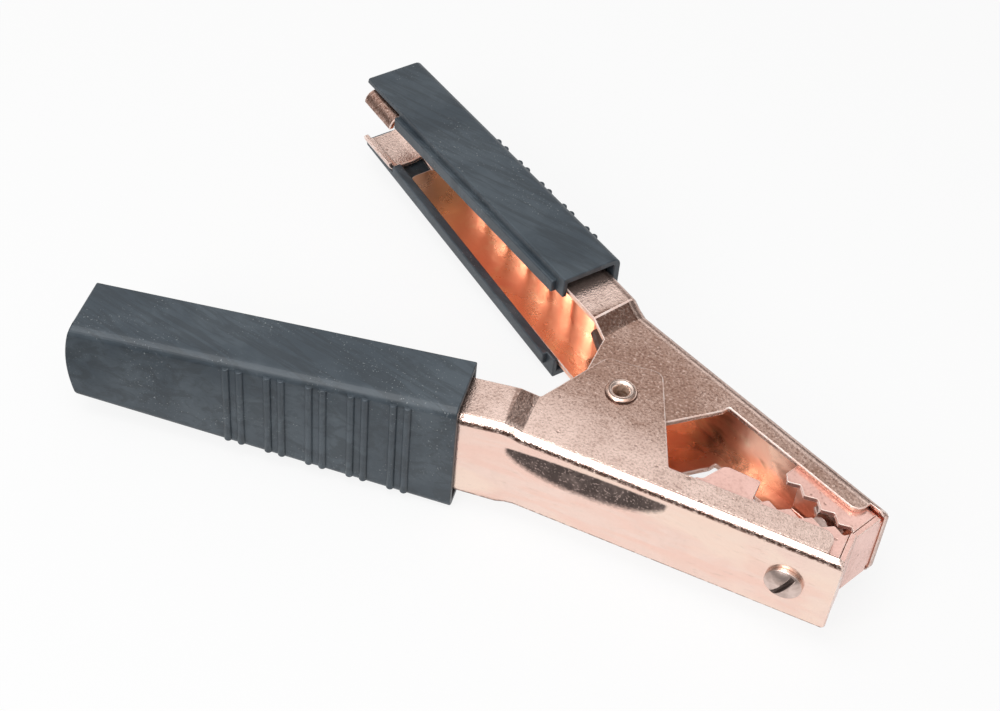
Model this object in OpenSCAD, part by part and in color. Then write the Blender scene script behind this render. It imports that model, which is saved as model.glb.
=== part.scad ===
/* [Sheet metal] */
// Thickness of the pressed lever sheet
sheet_t = 1.2; // [1:0.1:1.4]
// Outer radius of the long bends between web and flanges
bend_r = 2; // [1.6:0.1:2.4]
// Width over the ears and jaw of the outer lever
ear_w = 20.8; // [19:0.2:22]
// Side clearance between the inner lever's ears and the outer lever's
ear_clear = 0.1; // [0.05:0.05:0.2]
// Width over both handles just behind the pivot
handle_w = 22.6; // [22:0.2:24]
// Width over both handles at their rear end
handle_rear_w = 17.6; // [15:0.2:17.8]

/* [Lever outline] */
// Distance of the bend in the web behind the pivot
kink_x = 10; // [9:0.5:11]
// Distance of the bend in the web from the middle line
kink_y = 22.3; // [22:0.1:23]
// Angle at which the jaw closes in on the middle line
jaw_a = 11.6; // [11:0.1:12]
// Angle at which the handle opens from the middle line
handle_a = 21; // [19:0.5:23]
// Length of the web from its bend to the jaw's front
jaw_l = 66; // [65:0.5:67]
// Length by which the flanges stop short of the jaw's front
flange_setback = 3.6; // [3:0.1:4.5]
// Depth of the low jaw flange
jaw_flange_d = 6.7; // [6:0.1:7]
// Radius of the jaw flange's front corner
jaw_corner_r = 2.3; // [1:0.1:2.6]
// Radius of the two corners of the web's front tongue
tongue_r = 2.2; // [1:0.1:2.4]
// Length of the web from its bend to the handle's rear end
handle_l = 72; // [70:0.5:72]
// Depth of the handle flange
handle_d = 11.2; // [10:0.1:11.4]
// Radius of the handle flange's rear corner
handle_corner_r = 2.2; // [1.6:0.1:4]
// Length of the joggle at the web's bend that steps the ears in
joggle_l = 3.6; // [3:0.2:5]
// Distance along the jaw from the web's bend to the root of the ear
ear_root_u = 29.3; // [28:0.1:30]
// Distance of the ear's heel behind the pivot
ear_heel_x = 7.3; // [6.5:0.1:8.5]
// Reach of the ear's heel past the pivot
ear_heel_y = 5.9; // [5.2:0.1:6.6]
// Distance of the ear's toe ahead of the pivot
ear_toe_x = 3.5; // [2.5:0.1:4.5]
// Reach of the ear's toe past the pivot
ear_toe_y = 9.5; // [8.8:0.1:10.4]
// Radius of the ear's heel and toe
ear_corner_r = 2.2; // [1:0.1:2.6]

/* [Handle flutes] */
// Distance between the pressed flutes of a handle
flute_pitch = 8.4; // [8.2:0.1:8.6]
// Number of flutes
flute_count = 6; // [3:1:6]
// Distance from the web's bend to the first flute
flute_first = 16.3; // [16:0.1:17]
// Depth to which a flute is pressed in
flute_depth = 1.5; // [0.8:0.1:1.7]
// Flat land between two flutes
flute_land = 1; // [0.6:0.1:1.4]

/* [Cable crimp] */
// Length of the neck between the handle and the crimp
neck_l = 3.6; // [3.2:0.1:4.6]
// Depth of the neck's low walls
neck_d = 5; // [4:0.1:5.6]
// Inside radius of the crimp
crimp_r = 6.5; // [5.8:0.1:6.8]
// Length of the crimp
crimp_l = 11; // [8:0.2:11.6]
// Height of the crimp's wings from the web
crimp_h = 14.2; // [13.4:0.2:15.8]
// Radius to which the wings curl in
curl_r = 2.8; // [2.2:0.1:3.8]

/* [Jaw inserts] */
// Thickness of the folded insert sheet
insert_t = 1.1; // [1:0.1:1.3]
// Fold radius on the outside of an insert
fold_r = 1.6; // [1.4:0.1:2]
// Side clearance of an insert in its jaw
insert_clear = 0.05; // [0.02:0.01:0.1]
// Distance from the front of the insert to the front of the web
insert_setback = 0.4; // [0:0.1:1]
// Distance between tooth tips
tooth_pitch = 4.28; // [4.1:0.02:4.3]
// Number of tooth tips on one wall
tooth_count = 5; // [3:1:5]
// Depth of the teeth
tooth_d = 1.4; // [0.8:0.1:1.6]
// Radius of tooth tips and valleys
tooth_r = 0.5; // [0.2:0.1:0.6]
// Gap between the closed jaws' front edges
bite_gap = 0.2; // [0.1:0.05:0.6]
// Relief slit in the folded front corners
fold_slit = 0.15; // [0.1:0.05:0.3]
// Length of the lug behind the teeth of the outer insert
lug_l = 7.6; // [6:0.1:8]
// Height of the lug from the web
lug_h = 13.2; // [12:0.1:13.4]
// Length of the lug's sloping rear edge
lug_slope = 2.3; // [1.5:0.1:3]
// Gap between the lug and the first tooth
lug_notch = 1.3; // [1:0.1:2]

/* [Screws and nuts] */
// Shank diameter of the screws
screw_d = 4.9; // [4:0.1:5]
// Head diameter of the screws
head_d = 9.2; // [8:0.1:10]
// Head height of the screws
head_h = 2.6; // [2:0.1:3]
// Height of the straight rim of a head
head_rim = 1; // [0.6:0.1:1.4]
// Width of the screwdriver slot
slot_w = 1.3; // [0.8:0.1:1.6]
// Depth of the screwdriver slot
slot_d = 1.3; // [0.8:0.1:1.5]
// Turn of the screwdriver slot from the jaw's length
slot_a = 60; // [0:1:180]
// Distance from the screw to the jaw's front
screw_setback = 9.7; // [9:0.1:10.4]
// Width across flats of the nuts
nut_af = 8; // [7:0.1:8.6]
// Height of the nuts
nut_h = 3.4; // [2.4:0.1:3.6]
// Length of the shank past its nut
screw_rest = 0.6; // [0.2:0.1:1]
// Clearance round a shank in its holes, on the radius
hole_clear = 0.1; // [0.05:0.01:0.1]
// Clearance round a shank in its nut, on the radius
thread_clear = 0.05; // [0.02:0.01:0.08]

/* [Pivot] */
// Outside diameter of the hollow rivet
rivet_d = 4.9; // [4.4:0.1:5.4]
// Bore of the hollow rivet
rivet_bore_d = 3; // [2.6:0.1:3.4]
// Diameter of the rolled rims
rim_d = 6.4; // [6.2:0.1:7.2]
// Running clearance of the rivet in the ears, on the radius
pivot_clear = 0.05; // [0.02:0.01:0.08]

/* [Spring] */
// Wire diameter
wire_d = 2.3; // [1.8:0.1:2.4]
// Mean radius of the coil
coil_r = 4.9; // [4.6:0.1:5.2]
// Gap between turns
coil_gap = 0.2; // [0.1:0.05:0.3]
// Full turns in the coil
coil_turns = 4; // [3:1:4]
// Distance from the web's bend to the end of a spring leg
leg_u = 9.8; // [8:0.1:11]
// Gap between a spring leg and the web it presses on
leg_gap = 0.1; // [0.05:0.05:0.3]

/* [Grips] */
// Length of a grip
grip_l = 78; // [77:0.5:82]
// Distance from the web's bend to the front of a grip
grip_front = 10.2; // [9.6:0.2:13]
// Width of a grip at its front
grip_front_w = 28.6; // [28:0.2:32]
// Width of a grip at its rear
grip_rear_w = 19.6; // [19.4:0.2:21]
// Wall thickness of a grip
grip_wall = 1.5; // [1.2:0.1:1.6]
// Clearance between a grip and the handle in it
grip_clear = 0.1; // [0.05:0.05:0.2]
// Thickness of a lip where it leaves the wall
lip_t = 1; // [0.8:0.1:1.4]
// Thickness of the bead along a lip
bead_t = 2.1; // [1.4:0.1:2.4]
// Height from a grip's side down to the bead
bead_drop = 2; // [1.6:0.1:2.4]
// Height of the bead
bead_h = 3; // [2:0.1:3.4]
// Length by which the bead stops short of the front
bead_setback = 2.6; // [1:0.1:4]
// Rounding of the two long edges on the closed side
grip_edge_r = 2; // [1:0.1:2.2]
// Rounding of the edges on the open side
lip_edge_r = 0.4; // [0.2:0.1:0.5]
// Gap between the rear end of the lips and the crimp's front
lip_gap = 0.6; // [0.4:0.1:1.6]
// Bulge of the rear edge
rear_bulge = 1.5; // [0.5:0.1:2.5]
// Distance between pairs of finger ridges
ridge_pitch = 8.4; // [8:0.1:9]
// Number of pairs of finger ridges
ridge_count = 5; // [2:1:5]
// Distance from the web's bend to the first pair
ridge_first = 21.1; // [20:0.1:25]
// Distance between the two ridges of a pair
ridge_gap = 2.8; // [1.8:0.1:3]
// Width of a ridge
ridge_w = 1.4; // [0.8:0.1:1.6]
// Distance from a ridge's end to the grip's side
ridge_inset = 1.4; // [1.2:0.1:3]

/* [Hidden] */
$fn = 48;
copper = "#c98d73";
steel = "#b9bcc0";
wire_grey = "#6f767c";
slate = "#4d565e";

// Half widths of the two channels
outer_half = ear_w / 2;
inner_half = outer_half - sheet_t - ear_clear;
flange_front = jaw_l - flange_setback;
screw_u = jaw_l - screw_setback;

// Reach beyond every part of the clamp, across and in height
far = 60;
// Number of steps in a drawn corner
steps = 6;

// Insert sizes that follow from the jaw
insert_front = jaw_l - insert_setback;
seat_v = sheet_t + insert_t;
tip_v = (kink_y - sin(jaw_a) * insert_front - bite_gap / 2) / cos(jaw_a);
valley_v = tip_v - tooth_d;
teeth_rear = insert_front - (tooth_count - 1) * tooth_pitch - 1.5;
lug_front = teeth_rear - lug_notch;
lug_rear = lug_front - lug_l;
base_rear = lug_rear - lug_slope - 1.5;

// Spring sizes that follow from the coil
coil_pitch = wire_d + coil_gap;
leg_end = at_handle(leg_u, sheet_t + leg_gap + wire_d / 2);
leg_turn = atan2(leg_end[1], leg_end[0]) - acos(coil_r / norm(leg_end));
coil_sweep = 360 * coil_turns + 2 * leg_turn;
coil_half = coil_pitch * coil_sweep / 720;
wire_sides = 8;
turn_rings = 24;

// Crimp sizes that follow from the neck
crimp_u = handle_l + neck_l;
crimp_lift = 0.2;

// Grip sizes that follow from the handle and its crimp
grip_back = grip_front + grip_l;
grip_outer_v = -grip_clear - grip_wall;
lip_inner_v = handle_d + grip_clear;
wall_v = lip_inner_v + lip_t;
bead_v = lip_inner_v + bead_t;
mouth_drop = bead_drop + bead_h;
lip_back = crimp_u - lip_gap;

// Place of a point given along a jaw (u, forward) and in from its web (v)
function at_jaw(u, v) = [
    -kink_x + u * cos(jaw_a) - v * sin(jaw_a),
    kink_y - u * sin(jaw_a) - v * cos(jaw_a)];

// Place of a point given along a handle (u, backward) and in from its web (v)
function at_handle(u, v) = [
    -kink_x - u * cos(handle_a) - v * sin(handle_a),
    kink_y + u * sin(handle_a) - v * cos(handle_a)];

// Step in from the web along the line that halves its bend
function bend_step(v) =
    let (half = (handle_a - jaw_a) / 2, lean = jaw_a + half)
    [-v * sin(lean) / cos(half), -v * cos(lean) / cos(half)];

function unit(p) = p / norm(p);

// Arc that replaces the corner between two sides
function corner_arc(before, corner, after, r) =
    let (
        a = unit(before - corner),
        b = unit(after - corner),
        half = acos(a * b) / 2,
        centre = corner + unit(a + b) * r / sin(half),
        first = corner + a * r / tan(half) - centre,
        last = corner + b * r / tan(half) - centre,
        start = atan2(first[1], first[0]),
        turn = atan2(first[0] * last[1] - first[1] * last[0], first * last)
    )
    [for (i = [0:steps]) centre + r * [cos(start + turn * i / steps), sin(start + turn * i / steps)]];

// Closed outline whose corners are [x, y, radius]
function rounded(path) =
    let (n = len(path))
    [for (i = [0:n - 1])
        let (
            c = path[i],
            p = path[(i + n - 1) % n],
            q = path[(i + 1) % n]
        )
        each c[2] > 0 ? corner_arc([p[0], p[1]], [c[0], c[1]], [q[0], q[1]], c[2]) : [[c[0], c[1]]]];

// Solid through a row of like rings
module loft(rings) {
    n = len(rings[0]);
    last = len(rings) - 1;
    sides = [for (k = [0:last - 1], i = [0:n - 1])
        [k * n + i, k * n + (i + 1) % n, (k + 1) * n + (i + 1) % n, (k + 1) * n + i]];
    caps = [[for (i = [n - 1:-1:0]) i], [for (i = [0:n - 1]) last * n + i]];
    polyhedron(points = [for (ring = rings) each ring], faces = concat(sides, caps), convexity = 8);
}

// Places what is drawn as (u, v, z) along the upper jaw
module on_jaw() {
    translate([-kink_x, kink_y, 0]) rotate([0, 0, -jaw_a]) mirror([0, 1, 0]) children();
}

// Places what is drawn as (u, v, z) along the upper handle
module on_handle() {
    translate([-kink_x, kink_y, 0]) rotate([0, 0, 180 - handle_a]) children();
}

// Turns the upper side's shape into the lower side's
module lower_side() {
    mirror([0, 1, 0]) children();
}

// Draws a cross-section, given as (v, z), along u
module along(length) {
    rotate([90, 0, 90]) linear_extrude(length) children();
}

// Draws a side view, given as (u, v), over a height
module upright(height) {
    linear_extrude(height, center = true) children();
}

// Ring of a channel that is open far inward, at a place on the line of its web
function channel_ring(place, v, half, r) =
    [for (p = rounded([[far, half, 0], [v, half, r], [v, -half, r], [far, -half, 0]]))
        let (q = place + bend_step(p[0]))
        [q[0], q[1], p[1]]];

// Half width of a handle at a distance from the bend
function handle_half(u) =
    let (taper_start = joggle_l / 2)
    (handle_w + (handle_rear_w - handle_w) * (u - taper_start) / (handle_l - taper_start)) / 2;

// Space inside a channel's outer or inner face
module channel_space(v, half, inset, r) {
    over = 20;
    loft([
        channel_ring(at_handle(handle_l + over, 0), v, handle_half(handle_l + over) - inset, r),
        channel_ring(at_handle(joggle_l / 2, 0), v, handle_half(joggle_l / 2) - inset, r),
        channel_ring(at_jaw(0, 0), v, (handle_half(joggle_l / 2) + half) / 2 - inset, r),
        channel_ring(at_jaw(joggle_l / 2, 0), v, half - inset, r),
        channel_ring(at_jaw(jaw_l + over, 0), v, half - inset, r)]);
}

// Side view of a lever's flanges with its ear
module lever_outline() {
    root = at_jaw(ear_root_u, jaw_flange_d);
    front_low = at_jaw(flange_front, jaw_flange_d);
    front_high = at_jaw(flange_front, bend_r - 0.4);
    tongue_low = at_jaw(jaw_l, bend_r - 0.4);
    tongue_high = at_jaw(jaw_l, -3);
    rear_high = at_handle(handle_l, -3);
    rear_low = at_handle(handle_l, handle_d);
    notch = at_handle(-3, handle_d);
    polygon(rounded([
        [root[0], root[1], 0.8],
        [front_low[0], front_low[1], jaw_corner_r],
        [front_high[0], front_high[1], 0],
        [tongue_low[0], tongue_low[1], 0],
        [tongue_high[0], tongue_high[1], 0],
        [-kink_x, kink_y + 3.2, 0],
        [rear_high[0], rear_high[1], 0],
        [rear_low[0], rear_low[1], handle_corner_r],
        [notch[0], notch[1], 0.6],
        [-ear_heel_x, -ear_heel_y, ear_corner_r],
        [ear_toe_x, -ear_toe_y, ear_corner_r]]));
}

// Flutes pressed into a handle's web, or their bulge on its inside
module flutes(grow) {
    chord = flute_pitch - flute_land;
    r = (chord * chord / 4 + flute_depth * flute_depth) / (2 * flute_depth);
    for (i = [0:flute_count - 1])
        translate([flute_first + i * flute_pitch, flute_depth - r, 0])
            cylinder(h = 2 * far, r = r + grow, center = true);
}

// Clears the way for a screw's shank through web and insert
module screw_way(r) {
    translate([screw_u, -1, 0]) rotate([-90, 0, 0]) cylinder(h = far / 2, r = r);
}

// Takes the two corners off the web's front tongue
module tongue_corners(half) {
    for (side = [-1, 1])
        translate([jaw_l - tongue_r, 0, side * (half - tongue_r)]) difference() {
            translate([0, -1, side > 0 ? 0 : -tongue_r - 1]) cube([tongue_r + 1, bend_r + 2, tongue_r + 1]);
            translate([0, -2, 0]) rotate([-90, 0, 0]) cylinder(h = bend_r + 6, r = tongue_r);
        }
}

// Pressed channel lever, drawn on the upper side
module lever(half) {
    difference() {
        intersection() {
            union() {
                difference() {
                    channel_space(0, half, 0, bend_r);
                    channel_space(sheet_t, half, sheet_t, 0);
                }
                intersection() {
                    channel_space(0, half, sheet_t / 4, bend_r);
                    on_handle() flutes(sheet_t);
                }
            }
            upright(2 * far) lever_outline();
        }
        on_handle() flutes(0);
        cylinder(h = 2 * far, r = rivet_d / 2 + pivot_clear, center = true);
        on_jaw() screw_way(screw_d / 2 + hole_clear);
        on_jaw() tongue_corners(half);
    }
}

// Section of the open crimp as (v, z): round at the bottom with straight walls
module crimp_section() {
    middle = crimp_r + sheet_t + crimp_lift;
    difference() {
        union() {
            translate([middle, 0]) circle(r = crimp_r + sheet_t);
            translate([middle, -crimp_r - sheet_t]) square([crimp_h - curl_r - middle, 2 * (crimp_r + sheet_t)]);
        }
        translate([middle, 0]) circle(r = crimp_r);
        translate([middle, -crimp_r]) square([crimp_h, 2 * crimp_r]);
    }
}

// Section of the two wing ends, which curl in towards each other
module curl_section() {
    for (side = [-1, 1])
        translate([crimp_h - curl_r, side * (crimp_r + sheet_t - curl_r)]) intersection() {
            difference() {
                circle(r = curl_r);
                circle(r = curl_r - sheet_t);
            }
            translate([-0.01, side > 0 ? 0 : -far]) square([far, far]);
        }
}

// Low channel between two distances, from one half width to another
module neck_channel(u0, half0, u1, half1, inset, r) {
    loft([for (place = [[u1, half1], [u0, half0]])
        let (h = place[1] - inset)
        [for (p = rounded([[neck_d + inset, h, 0], [inset, h, r], [inset, -h, r], [neck_d + inset, -h, 0]]))
            [place[0], p[0], p[1]]]]);
}

// Neck and cable crimp behind the inner handle
module crimp() {
    root = handle_l - 0.6;
    half = crimp_r + sheet_t;
    difference() {
        neck_channel(root, handle_half(root), crimp_u + 0.4, half, 0, bend_r);
        neck_channel(root - 0.1, handle_half(root) + 0.02, crimp_u + 0.5, half, sheet_t, 0);
    }
    translate([crimp_u, 0, 0]) along(crimp_l) {
        crimp_section();
        curl_section();
    }
}

// Section of a folded insert as (v, z), solid or its hollow
module insert_section(v, half, r, over) {
    translate([v + r, -half]) square([over - v - r, 2 * half]);
    translate([v, -half + r]) square([r + 0.01, 2 * (half - r)]);
    for (side = [-1, 1])
        translate([v + r, side * (half - r)]) circle(r = r);
}

// Toothed edge of an insert's side walls, as (u, v)
module insert_profile(rear) {
    tips = [for (i = [0:tooth_count - 2])
        let (u = insert_front - (tooth_count - 1 - i) * tooth_pitch)
        each [[u, tip_v, tooth_r], [u + tooth_pitch / 2, valley_v, tooth_r]]];
    polygon(rounded(concat(
        [[insert_front - insert_t - fold_slit, -1, 0]],
        [[rear, -1, 0]],
        [[rear, valley_v, 0]],
        [[teeth_rear, valley_v, 0]],
        tips,
        [[insert_front - insert_t - fold_slit, valley_v + tooth_d * 0.6, 0]])));
}

// Lug that stands up behind the teeth of the outer insert, as (u, v)
module lug_profile() {
    foot_v = jaw_flange_d - 0.9;
    polygon(rounded([
        [base_rear, foot_v, 0.6],
        [lug_rear - lug_slope, foot_v, 1.4],
        [lug_rear, lug_h, 1.8],
        [lug_front, lug_h - 0.4, 0.5],
        [lug_front, valley_v, 0.5],
        [teeth_rear + 0.4, valley_v, 0],
        [teeth_rear + 0.4, -1, 0],
        [base_rear, -1, 0]]));
}

// Folded and toothed contact insert in a jaw's frame
module insert(half, rear) {
    clear_half = half - sheet_t - insert_clear;
    difference() {
        union() {
            intersection() {
                difference() {
                    translate([rear, 0, 0]) along(insert_front - rear)
                        insert_section(sheet_t, clear_half, fold_r, far);
                    translate([rear - 1, 0, 0]) along(insert_front + 1)
                        insert_section(seat_v, clear_half - insert_t, fold_r - insert_t, far + 1);
                }
                upright(2 * far) union() {
                    insert_profile(rear < lug_rear ? teeth_rear - 0.4 : rear);
                    if (rear < lug_rear)
                        lug_profile();
                }
            }
            translate([insert_front - insert_t, seat_v - 0.2, -clear_half + 0.02])
                cube([insert_t, tip_v - seat_v + 0.2, 2 * clear_half - 0.04]);
            translate([insert_front - insert_t - 1, sheet_t, -clear_half + fold_r])
                cube([insert_t + 1, insert_t, 2 * (clear_half - fold_r)]);
        }
        screw_way(screw_d / 2 + hole_clear);
    }
}

// Slotted pan-head screw in a jaw's frame
module screw() {
    dome_r = (head_d * head_d / 4 + (head_h - head_rim) * (head_h - head_rim)) / (2 * (head_h - head_rim));
    translate([screw_u, 0, 0]) rotate([90, 0, 0]) difference() {
        union() {
            rotate_extrude() intersection() {
                square([head_d / 2, head_h]);
                translate([0, head_h - dome_r]) circle(r = dome_r, $fn = 96);
            }
            translate([0, 0, -seat_v - nut_h - screw_rest])
                cylinder(h = seat_v + nut_h + screw_rest + 0.2, r = screw_d / 2);
        }
        rotate([0, 0, slot_a]) translate([-head_d, -slot_w / 2, head_h - slot_d])
            cube([2 * head_d, slot_w, slot_d + 1]);
    }
}

// Hexagon nut with chamfered corners in a jaw's frame
module nut() {
    corner_r = nut_af / 2 / cos(30);
    translate([screw_u, seat_v, 0]) rotate([-90, 0, 0]) difference() {
        intersection() {
            cylinder(h = nut_h, r = corner_r, $fn = 6);
            translate([0, 0, -corner_r + nut_af / 2 - 0.1])
                cylinder(h = corner_r + nut_h - nut_af / 2 + 0.1 + corner_r - nut_af / 2, r1 = 2 * corner_r, r2 = 0);
        }
        translate([0, 0, -1]) cylinder(h = nut_h + 2, r = screw_d / 2 + thread_clear);
    }
}

// Hollow rivet with a rolled rim on each side
module rivet() {
    roll_r = (rim_d - rivet_bore_d) / 4;
    rotate_extrude() {
        translate([rivet_bore_d / 2, -outer_half]) square([(rivet_d - rivet_bore_d) / 2, 2 * outer_half]);
        for (side = [-1, 1])
            translate([rivet_bore_d / 2 + roll_r, side * outer_half]) intersection() {
                circle(r = roll_r);
                translate([-roll_r, side > 0 ? 0 : -roll_r]) square([2 * roll_r, roll_r]);
            }
    }
}

// Ring of wire round a point, square to the direction it runs in
function wire_ring(p, turn) =
    [for (i = [0:wire_sides - 1])
        let (
            a = 360 * i / wire_sides,
            out = wire_d / 2 * cos(a)
        )
        p + [out * cos(turn), out * sin(turn), wire_d / 2 * sin(a)]];

// Coil about the pivot, from the upper leg's turn down to the lower leg's
module spring() {
    count = ceil(coil_sweep / 360 * turn_rings);
    coil = [for (i = [0:count])
        let (turn = leg_turn - coil_sweep * i / count)
        wire_ring([coil_r * cos(turn), coil_r * sin(turn), coil_half * (2 * i / count - 1)], turn)];
    loft(concat(
        [wire_ring([leg_end[0], leg_end[1], -coil_half], leg_turn)],
        coil,
        [wire_ring([leg_end[0], -leg_end[1], coil_half], leg_turn - coil_sweep)]));
}

// Half width of a grip at a distance from the bend
function grip_half(u) = (grip_front_w + (grip_rear_w - grip_front_w) * (u - grip_front) / grip_l) / 2;

// Tapering bar between two distances, its sides lowered from the grip's
module grip_bar(u0, u1, v0, v1, drop, r0, r1) {
    loft([for (u = [u1, u0])
        let (h = grip_half(u) - drop)
        [for (p = rounded([[v1, h, r1], [v0, h, r0], [v0, -h, r0], [v1, -h, r1]])) [u, p[0], p[1]]]]);
}

// Moulded sleeve round a handle, in the handle's frame
module grip() {
    difference() {
        union() {
            difference() {
                grip_bar(grip_front, grip_back + rear_bulge, grip_outer_v, wall_v, 0, grip_edge_r, lip_edge_r);
                rear_trim();
            }
            grip_bar(grip_front + bead_setback, lip_back, wall_v - 1.2, bead_v, bead_drop, 0, lip_edge_r);
            finger_ridges();
        }
        grip_bar(grip_front - 1, grip_back + 5, -grip_clear, lip_inner_v, grip_wall, 0.4, 0);
        grip_bar(grip_front - 1, grip_back + 5, lip_inner_v - 1, far / 2, mouth_drop, 0, 0);
        grip_bar(lip_back, grip_back + 5, lip_inner_v - 1, far / 2, grip_wall, 0, 0);
    }
}

// What lies behind a grip's bulged rear edge
module rear_trim() {
    bulge_r = (grip_rear_w * grip_rear_w / 4 + rear_bulge * rear_bulge) / (2 * rear_bulge);
    difference() {
        translate([grip_back - 4, -far / 2, -far / 2]) cube([far, far, far]);
        translate([grip_back + rear_bulge - bulge_r, -far, 0]) rotate([-90, 0, 0])
            cylinder(h = 2 * far, r = bulge_r);
    }
}

// Pairs of half-round ridges across the closed side
module finger_ridges() {
    for (i = [0:ridge_count - 1], side = [-1, 1]) {
        u = ridge_first + i * ridge_pitch + side * ridge_gap / 2;
        reach = grip_half(u) - ridge_inset;
        translate([u, grip_outer_v + 0.1, 0]) cylinder(h = 2 * reach, r = ridge_w / 2 + 0.1, center = true);
    }
}

module outer_lever() {
    color(copper) lower_side() lever(outer_half);
}

module inner_lever() {
    color(copper) {
        lever(inner_half);
        on_handle() crimp();
    }
}

module outer_jaw_insert() {
    color(copper) lower_side() on_jaw() insert(outer_half, base_rear);
}

module inner_jaw_insert() {
    color(copper) on_jaw() insert(inner_half, teeth_rear);
}

module outer_screw() {
    color(steel) lower_side() on_jaw() screw();
}

module outer_nut() {
    color(steel) lower_side() on_jaw() nut();
}

module inner_screw() {
    color(steel) on_jaw() screw();
}

module inner_nut() {
    color(steel) on_jaw() nut();
}

module pivot_rivet() {
    color(steel) rivet();
}

module torsion_spring() {
    color(wire_grey) spring();
}

module outer_grip() {
    color(slate) lower_side() on_handle() grip();
}

module inner_grip() {
    color(slate) on_handle() grip();
}

outer_lever();
inner_lever();
outer_jaw_insert();
inner_jaw_insert();
outer_screw();
outer_nut();
inner_screw();
inner_nut();
pivot_rivet();
torsion_spring();
outer_grip();
inner_grip();
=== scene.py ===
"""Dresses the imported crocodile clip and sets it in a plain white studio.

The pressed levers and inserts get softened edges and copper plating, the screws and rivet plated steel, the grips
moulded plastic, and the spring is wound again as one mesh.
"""

import logging
import math
from dataclasses import dataclass, field, fields
from enum import Enum
from typing import Any, Callable, ClassVar

import bmesh
import bpy
from mathutils import Matrix, Vector


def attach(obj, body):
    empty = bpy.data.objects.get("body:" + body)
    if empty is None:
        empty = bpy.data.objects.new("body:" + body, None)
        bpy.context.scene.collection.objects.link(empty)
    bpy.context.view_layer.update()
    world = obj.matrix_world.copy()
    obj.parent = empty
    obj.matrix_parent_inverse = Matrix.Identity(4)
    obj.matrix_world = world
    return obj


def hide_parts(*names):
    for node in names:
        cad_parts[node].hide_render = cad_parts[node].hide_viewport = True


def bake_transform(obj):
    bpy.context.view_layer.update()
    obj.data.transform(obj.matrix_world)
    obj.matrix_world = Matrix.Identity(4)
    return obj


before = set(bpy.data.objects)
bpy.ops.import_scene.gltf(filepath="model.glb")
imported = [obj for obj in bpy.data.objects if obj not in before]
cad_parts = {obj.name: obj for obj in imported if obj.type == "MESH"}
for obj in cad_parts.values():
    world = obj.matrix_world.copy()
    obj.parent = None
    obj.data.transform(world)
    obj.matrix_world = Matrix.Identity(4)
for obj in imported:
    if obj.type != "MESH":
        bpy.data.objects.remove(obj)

LOG = logging.getLogger("clip")
MM = 0.001
Colour = tuple[float, float, float]
Point = tuple[float, float, float]
Span = tuple[float, float]


class Half(Enum):
    """The two bodies that the hinge joins, and the side of the middle line that each one's handle is on."""

    OUTER = ("outer_half", -1)
    INNER = ("inner_half", 1)

    @property
    def body(self) -> str:
        """Name of the body in the frame."""
        return self.value[0]

    @property
    def side(self) -> int:
        """Side of the middle line, as a sign on Y."""
        return self.value[1]


@dataclass(frozen=True)
class Bend:
    """Where a lever's web bends, and how its jaw and handle run from there, in millimetres and degrees."""

    x: float = -10.0
    y: float = 22.3
    jaw_angle: float = 11.6
    handle_angle: float = 21.0
    sheet: float = 1.2
    ear_half: dict[str, float] = field(default_factory=lambda: {"outer": 10.4, "inner": 9.1})
    handle_half: float = 11.3
    handle_narrowing: float = 0.0356

    def corner(self, side: int) -> Point:
        """The bend's place in the side view."""
        return self.x, side * self.y, 0.0

    def jaw_inward(self, side: int) -> Point:
        """Direction from the jaw's web towards the middle line."""
        angle = math.radians(self.jaw_angle)
        return -math.sin(angle), -side * math.cos(angle), 0.0

    def jaw_forward(self, side: int) -> Point:
        """Direction along the jaw's web."""
        angle = math.radians(self.jaw_angle)
        return math.cos(angle), -side * math.sin(angle), 0.0

    def handle_inward(self, side: int) -> Point:
        """Direction from the handle's web towards the middle line."""
        angle = math.radians(self.handle_angle)
        return -math.sin(angle), -side * math.cos(angle), 0.0

    def handle_backward(self, side: int) -> Point:
        """Direction along the handle's web."""
        angle = math.radians(self.handle_angle)
        return -math.cos(angle), side * math.sin(angle), 0.0


BEND = Bend()


def jaw_axes(side: int) -> tuple[Vector, Vector, Vector]:
    """Finds a jaw's own frame.

    Args:
        side: Side of the middle line that the jaw is on.

    Returns:
        The bend's corner, the way forward along the web and the way in from it.
    """
    return Vector(BEND.corner(side)), Vector(BEND.jaw_forward(side)), Vector(BEND.jaw_inward(side))


# ---- shader graphs


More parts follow.
